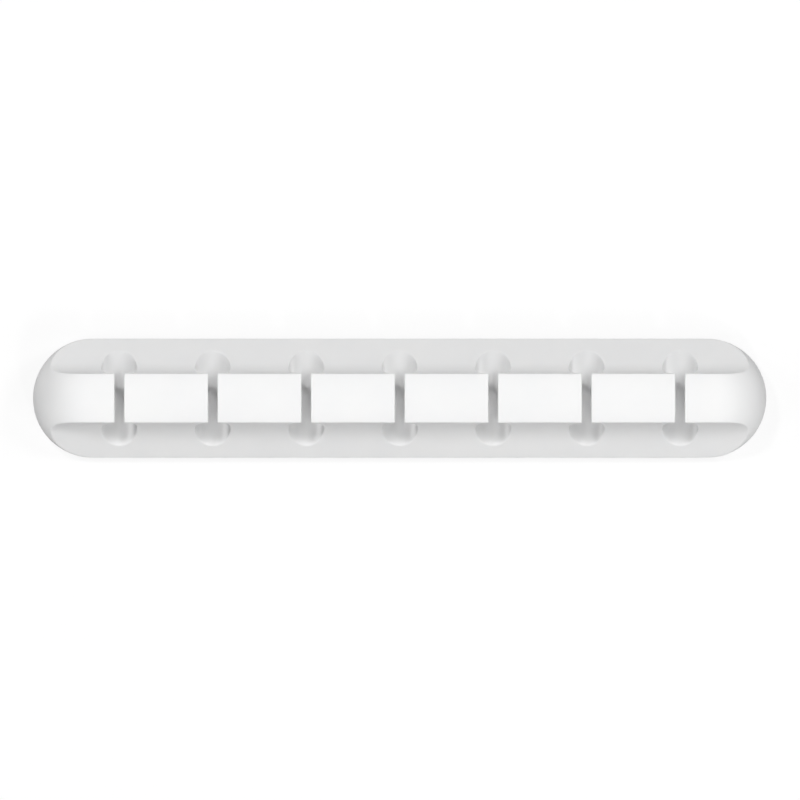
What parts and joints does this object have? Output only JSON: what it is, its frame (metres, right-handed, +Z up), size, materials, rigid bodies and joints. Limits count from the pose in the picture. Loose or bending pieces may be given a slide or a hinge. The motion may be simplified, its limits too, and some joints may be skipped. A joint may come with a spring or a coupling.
{
  "type": "desk cable organizer",
  "caption": "Long rounded silicone holder with a row of keyhole slots across its ridge, each a round bore below a narrow slit, to keep desk cables apart.",
  "frame": {"origin": "middle of the flat underside, on the surface that the holder lies on", "axes": "+X along the holder, +Y across it, along the cables, and +Z up from the underside through the slits"},
  "size_m": [0.134, 0.0218, 0.012],
  "materials": {
    "silicone": "matt white silicone"
  },
  "bodies": {
    "root": {"cable_holder": "silicone"}
  },
  "joints": []
}
